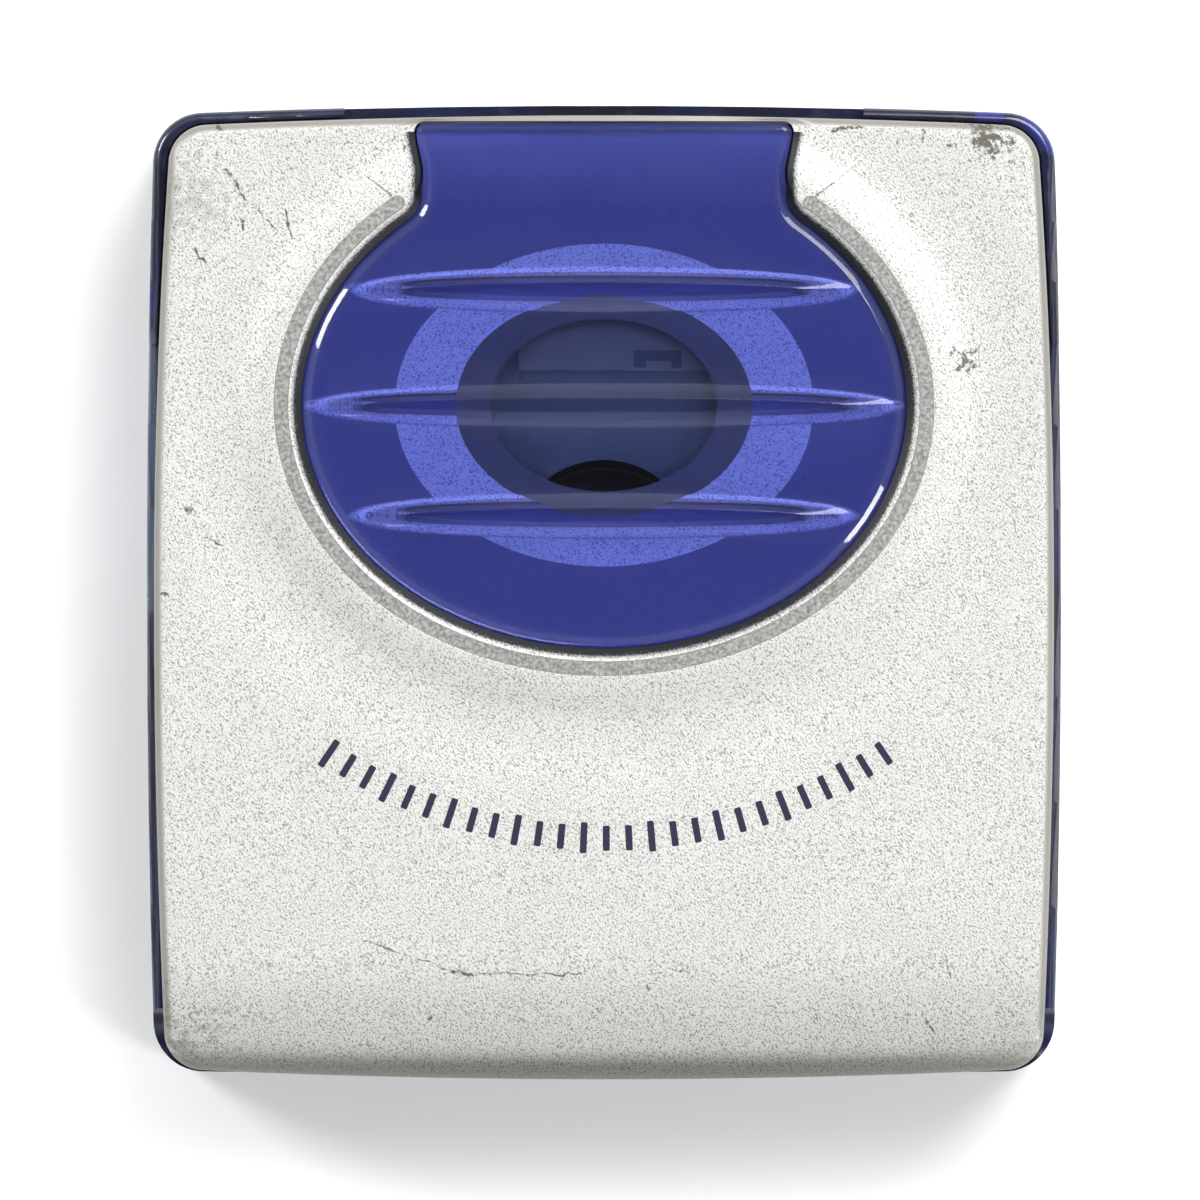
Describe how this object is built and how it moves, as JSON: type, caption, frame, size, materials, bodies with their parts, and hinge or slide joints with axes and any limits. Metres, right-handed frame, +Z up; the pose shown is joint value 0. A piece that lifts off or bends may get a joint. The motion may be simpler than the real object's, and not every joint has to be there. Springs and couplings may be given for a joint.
{
  "type": "portable minidisc player",
  "caption": "Flat pocket minidisc player with a hinged metal lid, a ribbed blue oval window, a lifting cartridge holder, side keys, jacks and a working drive inside",
  "frame": {"origin": "on the table under the middle of the case", "axes": "+Z up out of the lid, +Y towards the mouth where the cartridge goes in, +X to the right seen from above with the mouth at the top; the hinge lies at -Y"},
  "size_m": [0.08, 0.0852, 0.0197],
  "materials": {
    "lid_paint": "fine metallic grain, satin",
    "blue_clear": "clear tinted, polished",
    "film_dark": "printed film",
    "film_bright": "metallic printed film",
    "film_tint": "tinted film",
    "case_blue": "translucent, polished",
    "cover_metal": "satin",
    "black_plastic": "matt moulded",
    "steel": "plated sheet",
    "chrome_steel": "polished",
    "rubber": "matt",
    "board": "lacquered laminate",
    "cell": "sleeved can",
    "brass": "turned",
    "gear_plastic": "natural moulded",
    "glass": "coated"
  },
  "bodies": {
    "case": {"mid_frame": "case_blue", "bottom_cover": "cover_metal", "feet": "rubber", "case_screws": "chrome_steel", "hinge_brackets": "steel", "hinge_pins": "chrome_steel", "side_board": "board", "side_switches": "steel", "front_board": "board", "front_switches": "steel", "battery_cell": "cell", "battery_contacts": "brass", "battery_door_pin": "chrome_steel", "main_board": "board", "board_chips": "black_plastic", "headphone_jack": "black_plastic", "dc_jack": "black_plastic", "drive_chassis": "steel", "damper_grommets": "rubber", "spindle_stator": "brass", "guide_rods": "chrome_steel", "alignment_pins": "chrome_steel", "detect_switches": "black_plastic", "feed_motor": "chrome_steel"},
    "lid": {"lid_shell": "lid_paint", "window_lens": "blue_clear", "window_film_dark": "film_dark", "window_film_bright": "film_bright", "window_film_tinted": "film_tint", "lid_inner_frame": "black_plastic", "lid_screws": "chrome_steel", "lid_hook": "steel"},
    "holder": {"cartridge_holder": "steel", "holder_leaf": "steel", "shutter_opener": "steel"},
    "latch": {"open_slider": "black_plastic", "latch_plate": "steel"},
    "hold": {"hold_switch": "black_plastic"},
    "stop_key": {"key_stop": "black_plastic"},
    "skip_forward_key": {"key_skip_forward": "black_plastic"},
    "skip_back_key": {"key_skip_back": "black_plastic"},
    "play_key": {"key_play": "black_plastic"},
    "volume_down_button": {"volume_down": "black_plastic"},
    "volume_up_button": {"volume_up": "black_plastic"},
    "bass": {"bass_button": "black_plastic"},
    "door": {"battery_door": "case_blue", "door_contact": "brass"},
    "spindle": {"spindle_rotor": "chrome_steel", "turntable": "black_plastic", "chuck_magnet": "steel"},
    "pinion": {"feed_pinion": "brass"},
    "screw": {"feed_screw": "chrome_steel", "feed_gear": "gear_plastic"},
    "pickup": {"pickup_sled": "black_plastic", "feed_nut": "gear_plastic"},
    "focus": {"lens_actuator": "black_plastic", "objective_lens": "glass"}
  },
  "joints": [
    {"name": "lid_hinge", "type": "hinge", "parent": "case", "child": "lid", "pos_m": [0, -0.0394, 0.0152], "axis": [1, 0, 0], "range_deg": [0, 50]},
    {"name": "holder_lift", "type": "hinge", "parent": "case", "child": "holder", "pos_m": [0, -0.0394, 0.0152], "axis": [1, 0, 0], "range_deg": [0, 20]},
    {"name": "open_slide", "type": "slide", "parent": "case", "child": "latch", "axis": [0, 1, 0], "range_m": [0, 0.003]},
    {"name": "hold_slide", "type": "slide", "parent": "case", "child": "hold", "axis": [1, 0, 0], "range_m": [0, 0.002]},
    {"name": "stop_press", "type": "slide", "parent": "case", "child": "stop_key", "axis": [1, 0, 0], "range_m": [0, 0.00035], "stiffness_N_per_m": 900},
    {"name": "skip_forward_press", "type": "slide", "parent": "case", "child": "skip_forward_key", "axis": [1, 0, 0], "range_m": [0, 0.00035], "stiffness_N_per_m": 900},
    {"name": "skip_back_press", "type": "slide", "parent": "case", "child": "skip_back_key", "axis": [1, 0, 0], "range_m": [0, 0.00035], "stiffness_N_per_m": 900},
    {"name": "play_press", "type": "slide", "parent": "case", "child": "play_key", "axis": [1, 0, 0], "range_m": [0, 0.00035], "stiffness_N_per_m": 900},
    {"name": "volume_down_press", "type": "slide", "parent": "case", "child": "volume_down_button", "axis": [0, -1, 0], "range_m": [0, 0.00035], "stiffness_N_per_m": 900},
    {"name": "volume_up_press", "type": "slide", "parent": "case", "child": "volume_up_button", "axis": [0, -1, 0], "range_m": [0, 0.00035], "stiffness_N_per_m": 900},
    {"name": "bass_press", "type": "slide", "parent": "case", "child": "bass", "axis": [0, -1, 0], "range_m": [0, 0.00035], "stiffness_N_per_m": 900},
    {"name": "battery_door_hinge", "type": "hinge", "parent": "case", "child": "door", "pos_m": [-0.03914, -0.0233, 0.005], "axis": [0, 0, -1], "range_deg": [0, 90]},
    {"name": "spindle_spin", "type": "hinge", "parent": "case", "child": "spindle", "pos_m": [0, 0.00445, 0.007], "axis": [0, 0, 1], "continuous": true},
    {"name": "feed_motor_spin", "type": "hinge", "parent": "case", "child": "pinion", "pos_m": [-0.005, 0.02165, 0.0062], "axis": [1, 0, 0], "range_deg": [0, 2490]},
    {"name": "feed_screw_turn", "type": "hinge", "parent": "case", "child": "screw", "pos_m": [-0.005, 0.0174, 0.0062], "axis": [1, 0, 0], "range_deg": [-1750, 0]},
    {"name": "pickup_slide", "type": "slide", "parent": "case", "child": "pickup", "axis": [-1, 0, 0], "range_m": [0, 0.0145]},
    {"name": "focus_move", "type": "slide", "parent": "pickup", "child": "focus", "axis": [0, 0, 1], "range_m": [-0.0003, 0.0003], "stiffness_N_per_m": 40}
  ],
  "couplings": [
    {"joint": "holder_lift", "follows": "lid_hinge", "ratio": 0.4},
    {"joint": "feed_screw_turn", "follows": "pickup_slide", "rad_per_m": -2094.4},
    {"joint": "feed_motor_spin", "follows": "pickup_slide", "rad_per_m": 2992}
  ]
}
